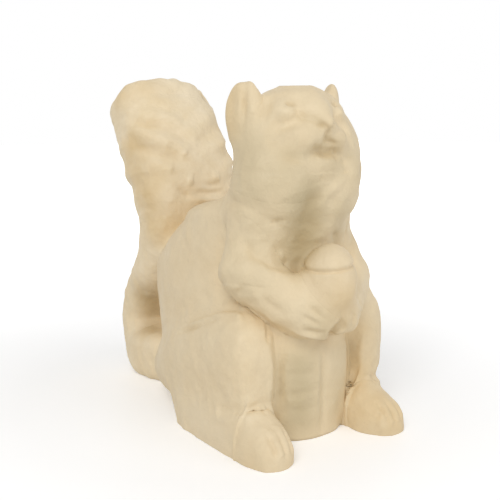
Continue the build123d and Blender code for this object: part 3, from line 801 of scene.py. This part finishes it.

# Painted shade in a warm tone: ears, tail, nut, toes and the crease beside the left knee
patch("warm_shade", 0.55, 5.0, (-18.8, -14.4, 96.0), (-19.0, -15.0, 88.0))
patch("warm_shade", 0.50, 5.0, (18.8, -14.4, 96.0), (19.0, -15.0, 88.0))
patch("warm_shade", 0.75, 8.0, (-17.0, 40.0, 80.0), (-16.0, 36.0, 66.0), (-13.0, 33.0, 56.0))
patch("warm_shade", 0.35, 6.0, (-12.0, 30.0, 62.0), (-6.0, 28.0, 64.0))
patch("warm_shade", 0.40, 9.0, (17.0, 40.0, 84.0), (15.0, 36.0, 64.0))
patch("warm_shade", 0.45, 7.0, (-17.0, 50.0, 98.0), (-12.0, 44.0, 102.0))
patch("warm_shade", 0.45, 7.0, (-12.0, 46.0, 30.0), (-11.0, 46.0, 18.0), (-9.0, 44.0, 10.0))
patch("warm_shade", 0.45, 6.0, (0.0, -43.0, 41.0), (3.0, -41.0, 38.0))
patch("warm_shade", 0.40, 7.0, (-25.0, -40.0, 5.0), (-20.0, -46.0, 4.0))
patch("warm_shade", 0.50, 7.0, (17.0, -40.0, 5.0), (18.0, -46.0, 4.0))
patch("warm_shade", 0.60, 5.0, (16.0, -31.0, 27.0), (15.0, -32.0, 12.0))
# Painted light on the right foot and the low tail
patch("painted_light", 0.60, 8.0, (-22.0, -38.0, 9.0), (-22.0, -46.0, 6.0))
patch("painted_light", 0.50, 7.0, (-27.0, -26.0, 6.0), (-27.0, -12.0, 4.0))
patch("painted_light", 0.50, 6.0, (-12.6, 44.0, 30.0), (-13.4, 48.0, 20.0))
# Painted shade in a greyish tone over the chest, chin, belly, hands, arms and cheeks
patch("grey_shade", 0.95, 8.0, (-7.0, -33.0, 69.0), (-4.0, -31.0, 62.0), (-4.0, -29.0, 54.0))
patch("grey_shade", 0.55, 5.0, (6.0, -32.0, 66.0), (8.0, -29.0, 58.0))
patch("grey_shade", 0.40, 6.0, (-2.0, -34.5, 82.0), (4.0, -34.0, 78.0))
patch("grey_shade", 0.80, 7.0, (-8.0, -34.0, 22.0), (-8.0, -34.0, 8.0))
patch("grey_shade", 0.40, 4.5, (0.0, -34.5, 77.5), (4.0, -34.5, 76.0))
patch("grey_shade", 0.40, 5.5, (-6.0, -39.0, 36.0), (-3.0, -38.0, 33.0))
patch("grey_shade", 0.30, 8.0, (-19.0, -25.0, 56.0), (-20.0, -26.0, 47.0))
patch("grey_shade", 0.30, 5.0, (6.0, -34.0, 22.0), (6.0, -34.0, 8.0))
patch("grey_shade", 0.55, 9.0, (-19.0, -24.0, 81.0), (-17.0, -27.0, 73.0), (-12.0, -33.0, 76.0))
patch("grey_shade", 0.40, 8.0, (19.0, -24.0, 81.0), (17.0, -27.0, 73.0), (12.0, -33.0, 76.0))
patch("grey_shade", 0.30, 7.0, (-18.0, -26.0, 66.0), (-16.0, -27.0, 60.0))
patch("grey_shade", 0.50, 3.0, (-13.0, -31.4, 80.8), (-7.0, -33.4, 80.2))
patch("grey_shade", 0.35, 1.8, (-5.6, -30.6, 90.0), (-2.4, -34.6, 89.2))
# Deep painted shade under the tail, in the mouth, the nostril and over the eyes
patch("deep_shade", 0.50, 5.0, (-9.0, 48.6, 29.0), (-6.4, 51.8, 21.8), (-8.4, 47.6, 16.6))
patch("deep_shade", 0.34, 1.8, (-3.4, -33.0, 81.6), (3.4, -34.0, 81.2))
patch("deep_shade", 0.50, 1.1, (-0.6, -32.8, 80.8), (2.6, -33.2, 81.0))
patch("deep_shade", 0.35, 0.9, (1.4, -34.4, 84.2), (4.2, -34.8, 83.8))
patch("deep_shade", 0.50, 1.0, (-2.8, -34.8, 88.7), (-0.6, -35.8, 88.0))
patch("deep_shade", 0.35, 0.9, (-8.6, -28.4, 94.0), (-7.0, -28.8, 93.9))
patch("deep_shade", 0.30, 0.9, (8.6, -28.4, 94.0), (7.0, -28.8, 93.9))


# Resin

class Value:
    """Number that comes out of a node; sums, differences and products make further nodes."""

    def __init__(self, recipe, socket):
        self.recipe, self.socket = recipe, socket

    def _math(self, kind, first, second):
        return self.recipe.node("ShaderNodeMath", {"operation": kind}, {0: first, 1: second})[0]

    def __add__(self, other):
        return self._math("ADD", self, other)

    def __radd__(self, other):
        return self._math("ADD", other, self)

    def __sub__(self, other):
        return self._math("SUBTRACT", self, other)

    def __mul__(self, other):
        return self._math("MULTIPLY", self, other)

    def clamped(self):
        return self.recipe.node("ShaderNodeClamp", {}, {"Value": self})[0]


class Recipe:
    """Material or world light put together node by node."""

    # Sockets that these nodes give by number
    OBJECT_PLACE, ATTRIBUTE_NUMBER = 3, 2
    MIX_SHARE, MIX_FIRST, MIX_SECOND, MIX_RESULT = 0, 6, 7, 2

    def __init__(self, owner, shader):
        owner.use_nodes = True
        self.owner, self.tree = owner, owner.node_tree
        self.shader = self.tree.nodes[shader]

    def feed(self, socket, value):
        if isinstance(value, Value):
            self.tree.links.new(value.socket, socket)
        elif isinstance(value, tuple) and socket.type == "RGBA":
            socket.default_value = (*value, 1.0)
        else:
            socket.default_value = value

    def node(self, kind, settings, inputs):
        """Node of a kind: its settings first, then values or links by input name; gives its outputs."""
        made = self.tree.nodes.new(kind)
        for name, value in settings.items():
            setattr(made, name, value)
        for name, value in inputs.items():
            self.feed(made.inputs[name], value)
        return [Value(self, socket) for socket in made.outputs]

    def set(self, **inputs):
        for name, value in inputs.items():
            self.feed(self.shader.inputs[name.replace("_", " ")], value)

    def place(self):
        """Place on the figure in metres."""
        return self.node("ShaderNodeTexCoord", {}, {})[self.OBJECT_PLACE]

    def grain(self, size, depth=3.0, roughness=0.5):
        """Noise from 0 to 1 with spots about the given size in millimetres."""
        return self.node("ShaderNodeTexNoise", {}, {
            "Vector": self.place(), "Scale": 1 / (size * MM), "Detail": depth, "Roughness": roughness})[0]

    def spots(self, size, contrast, cut, depth=3.0, roughness=0.5):
        """Noise stretched by the contrast and cut off below, so that it makes soft-edged spots."""
        return (self.grain(size, depth, roughness) * contrast - cut).clamped()

    def coat(self, name):
        """Number painted on the skin under the given name."""
        return self.node("ShaderNodeAttribute", {"attribute_name": name}, {})[self.ATTRIBUTE_NUMBER]

    def mix(self, share, first, second):
        """Colour from the first to the second as the share goes from 0 to 1."""
        return self.node("ShaderNodeMix", {"data_type": "RGBA"}, {
            self.MIX_SHARE: share, self.MIX_FIRST: first, self.MIX_SECOND: second})[self.MIX_RESULT]

    def bump(self, height, distance, strength, below=None):
        """Normal raised by a height; the distance is in millimetres."""
        inputs = {"Height": height, "Distance": distance * MM, "Strength": strength}
        if below is not None:
            inputs["Normal"] = below
        return self.node("ShaderNodeBump", {}, inputs)[0]

    def looked_at(self):
        """1 for a ray from the camera, straight, mirrored or let through, else 0."""
        outputs = self.tree.nodes.new("ShaderNodeLightPath").outputs
        camera_ray, glossy, through = [
            Value(self, outputs[name]) for name in ("Is Camera Ray", "Is Glossy Ray", "Is Transmission Ray")]
        return (camera_ray + glossy + through).clamped()


# Colours of painted shade (warm, greyish and deep) and of painted light, then of the resin's own specks
SHADE_OCHRE, SHADE_GREY, PAINTED_LIGHT_CREAM = (0.70, 0.50, 0.24), (0.50, 0.41, 0.24), (0.88, 0.76, 0.56)
DEEP_SHADE_OCHRE, SPECK = (0.44, 0.31, 0.14), (0.52, 0.40, 0.24)
SPOT_LIGHTER = 1.09


def cast_resin(name, cream, warm, warmth):
    """Matt cream resin with warmer drifting patches, painted shade in warm and greyish tones (the chest
    among them), painted light, deep painted shade in creases, faint grain and pits.

    Each kind of spot and each coat shares one colour into the next; two bumps, soft and fine,
    give the surface its bite.
    """
    resin = Recipe(bpy.data.materials.new(name), "Principled BSDF")
    drift = resin.spots(26, contrast=3.2, cut=1.2, depth=2.0)
    cloud = resin.spots(9, contrast=2.4, cut=0.7)
    spot = resin.spots(3.4, contrast=3.4, cut=1.3, roughness=0.6)
    specks = resin.spots(0.9, contrast=6.0, cut=3.9, depth=2.0)
    # Deep painted shade in creases and hollows, read from the skin
    deep_shade = resin.coat("deep_shade")
    lighter = tuple(min(1.0, SPOT_LIGHTER * part) for part in cream)
    warmed = (drift * 0.45 + cloud * 0.4) * warmth
    colour = resin.mix(warmed, cream, warm)
    colour = resin.mix(spot * 0.35, colour, lighter)
    # Painted shade in warm and greyish tones, painted light in a light cream, then deep painted shade in
    # creases
    colour = resin.mix((resin.coat("warm_shade") * (0.55 + cloud * 0.45)).clamped(), colour, SHADE_OCHRE)
    colour = resin.mix(resin.coat("grey_shade") * 0.8, colour, SHADE_GREY)
    colour = resin.mix(resin.coat("painted_light") * 0.6, colour, PAINTED_LIGHT_CREAM)
    colour = resin.mix((deep_shade * (0.75 + drift * 0.25)).clamped(), colour, DEEP_SHADE_OCHRE)
    colour = resin.mix(specks * 0.18, colour, SPECK)
    soft = resin.bump(resin.grain(2.6, roughness=0.55), distance=0.8, strength=0.45)
    fine = resin.bump(resin.grain(0.55, depth=2.0), distance=0.12, strength=0.25, below=soft)
    resin.set(Base_Color=colour, Roughness=0.50 + cloud * 0.14 + deep_shade * 0.12, Normal=fine,
              Specular_IOR_Level=0.35)
    return resin.owner


BODY, TAIL, NUT = "body_resin", "tail_resin", "nut_resin"
resins = {
    BODY: cast_resin("cream_resin", (0.80, 0.665, 0.45), (0.76, 0.60, 0.375), 0.8),
    # The tail's copy of the cream resin is lighter, painted light on the tail
    TAIL: cast_resin("tail_lit_cream_resin", (0.90, 0.775, 0.57), (0.84, 0.675, 0.42), 1.0),
    NUT: cast_resin("nut_cream_resin", (0.81, 0.67, 0.46), (0.77, 0.61, 0.38), 1.0),
}

# Fillets between neighbouring castings

HAUNCH_TO_BODY, HAUNCH_TO_FOOT, HAUNCH_TO_ARM = 3.5, 6.0, 3.0
FOOT_TO_BODY, TAIL_TO_BODY, NUT_TO_BODY = 2.5, 5.0, 2.5
NUT_TO_ARM, ARM_TO_ARM, EAR_TO_HEAD = 5.0, 2.0, 4.0
NAPE, RUFF, ELBOW = 4.0, 9.5, 3.5


def neck_fillet(p):
    """The head runs soft into the ruff in front and crisper into the nape and the left shoulder."""
    return NAPE + (RUFF - NAPE) * ramp(p[..., 1], -14, -24) * ramp(p[..., 0], 19, 13)


def shoulder_fillet(p):
    """Arms run soft into the shoulder and crisper towards the elbow."""
    return ELBOW + (neck_fillet(p) - ELBOW) * ramp(p[..., 2], 48, 58)


def pair(forms, size):
    """The left and the right form, each with the same fillet."""
    return [(forms[LEFT], size), (forms[RIGHT], size)]


# The twelve castings

casting("torso",
        spine_rays([(0, 0, 0, 12), (0.5, 0, 0, 40), (1, 0, -17, 72)],
                   around=260, along=240, caps=(0.2, 0.12)),
        rounded(body_form, [
            *pair(haunch_forms, HAUNCH_TO_BODY), *pair(arm_forms, shoulder_fillet), (head_form, neck_fillet),
            (tail_form, TAIL_TO_BODY), *pair(foot_forms, FOOT_TO_BODY), (nut_form, NUT_TO_BODY)]),
        reach=45, slot=BODY, floor=GROUND)
casting("head",
        spine_rays([(0, 0, -22, 76), (1, 0, -21, 88)], around=320, along=260, caps=(0.42, 0.42)),
        rounded(head_form, [
            (body_form, neck_fillet), *pair(arm_forms, shoulder_fillet), *pair(ear_forms, EAR_TO_HEAD)]),
        reach=40, slot=BODY)
casting("tail",
        spine_rays(tail_spine, around=240, along=380, caps=(0.05, 0.12)),
        rounded(tail_form, [(body_form, TAIL_TO_BODY)]),
        reach=30, slot=TAIL, floor=GROUND)
casting("nut",
        spine_rays([(0, 0, -36.5, 44), (1, 0, -36.5, 48)], around=120, along=110, caps=(0.45, 0.45)),
        rounded(nut_form, [*pair(arm_forms, NUT_TO_ARM), (body_form, NUT_TO_BODY)]),
        reach=14, slot=NUT, finish=nut_relief)
for side, word in ((LEFT, "left"), (RIGHT, "right")):
    casting(word + "_haunch",
            spine_rays([(0, side * 18, -20, 18), (1, side * 16, 12, 16)],
                       around=240, along=240, caps=(0.3, 0.3)),
            rounded(haunch_forms[side], [
                (body_form, HAUNCH_TO_BODY), (foot_forms[side], HAUNCH_TO_FOOT),
                (arm_forms[side], HAUNCH_TO_ARM)]),
            reach=40, slot=BODY, floor=GROUND)
    casting(word + "_foot",
            spine_rays([(0, side * 21.6, -38, 4.5), (1, side * 21, 0, 5)],
                       around=180, along=260, caps=(0.25, 0.15)),
            rounded(foot_forms[side], [(body_form, FOOT_TO_BODY), (haunch_forms[side], HAUNCH_TO_FOOT)]),
            reach=25, slot=BODY, floor=GROUND)
    casting(word + "_arm",
            spine_rays([(0, side * 15.6, -18.2, 66), (0.45, side * 18.2, -21.5, 49),
                        (0.6, side * 16, -25, 43), (1, side * 5.5, -35, 35)],
                       around=180, along=280, caps=(0.1, 0.1)),
            rounded(arm_forms[side], [
                (body_form, shoulder_fillet), (haunch_forms[side], HAUNCH_TO_ARM),
                (head_form, shoulder_fillet), (nut_form, NUT_TO_ARM), (arm_forms[-side], ARM_TO_ARM)]),
            reach=22, slot=BODY)
    casting(word + "_ear",
            spine_rays([(0, side * 15.2, -17.5, 84.5), (1, side * 15.5, -17.3, 95)],
                       around=150, along=150, caps=(0.2, 0.2)),
            rounded(ear_forms[side], [(head_form, EAR_TO_HEAD)]),
            reach=14, slot=BODY)

# Floor in metres: pale and shadowed near the figure, brightening to white away from it

HALF_FLOOR = 3
PALE_FLOOR, BLACK, WHITE = (0.9, 0.9, 0.9), (0.0, 0.0, 0.0), (1.0, 1.0, 1.0)
GLOW_RISE, GLOW_START, GLOW_RANGE, GLOW_LEAST = 2.2, 0.15, 0.8, 0.25

corners = [(-1, -1), (1, -1), (1, 1), (-1, 1)]
floor_mesh = bpy.data.meshes.new("floor")
floor_mesh.from_pydata([(HALF_FLOOR * x, HALF_FLOOR * y, 0) for x, y in corners], [], [(0, 1, 2, 3)])
floor = bpy.data.objects.new("floor", floor_mesh)
bpy.context.scene.collection.objects.link(floor)
ground = Recipe(bpy.data.materials.new("pale_floor"), "Principled BSDF")
ground.set(Base_Color=PALE_FLOOR)
away = ground.node("ShaderNodeVectorMath", {"operation": "LENGTH"}, {0: ground.place()})[1]
glow = (away * GLOW_RISE - GLOW_START).clamped() * GLOW_RANGE + GLOW_LEAST
seen_floor = ground.node("ShaderNodeBsdfPrincipled", {}, {
    "Base Color": PALE_FLOOR, "Emission Color": ground.mix(glow, BLACK, WHITE), "Emission Strength": 1.0})[0]
both_floors = ground.node("ShaderNodeMixShader", {}, {
    0: ground.looked_at(), 1: Value(ground, ground.shader.outputs[0]), 2: seen_floor})[0]
ground.feed(ground.tree.nodes["Material Output"].inputs["Surface"], both_floors)
floor_mesh.materials.append(ground.owner)

# World light: full white where it is looked at, weaker as the light that falls on the figure

SKY_LIGHT = 0.45

sky = Recipe(bpy.data.worlds.new("studio"), "Background")
sky.set(Color=WHITE, Strength=sky.looked_at() * (1 - SKY_LIGHT) + SKY_LIGHT)
bpy.context.scene.world = sky.owner

# Lamps and camera, in metres

LAMP_AIM = (0, 0, 0.05)
CAMERA_PLACE, CAMERA_AIM = (-0.1469, -0.2082, 0.0888), (0, -0.0118, 0.05)
SENSOR, LENS = 36, 57.44


def turned(place, aim):
    """Turn that points a lamp or camera from its place at its aim."""
    return (Vector(aim) - Vector(place)).to_track_quat("-Z", "Y").to_euler()


def lamp(name, place, size, power):
    light = bpy.data.lights.new(name, "AREA")
    light.size = size
    light.energy = power
    lit = bpy.data.objects.new(name, light)
    lit.location = place
    lit.rotation_euler = turned(place, LAMP_AIM)
    bpy.context.scene.collection.objects.link(lit)


lamp("key", (-0.45, -0.35, 0.55), size=0.35, power=2.2)
lamp("fill", (0.25, -0.6, 0.25), size=0.4, power=0.8)

camera_data = bpy.data.cameras.new("camera")
camera_data.sensor_width = SENSOR
camera_data.lens = LENS
camera = bpy.data.objects.new("camera", camera_data)
camera.location = CAMERA_PLACE
camera.rotation_euler = turned(CAMERA_PLACE, CAMERA_AIM)
bpy.context.scene.collection.objects.link(camera)
bpy.context.scene.camera = camera
bpy.context.scene.view_settings.view_transform = "Standard"
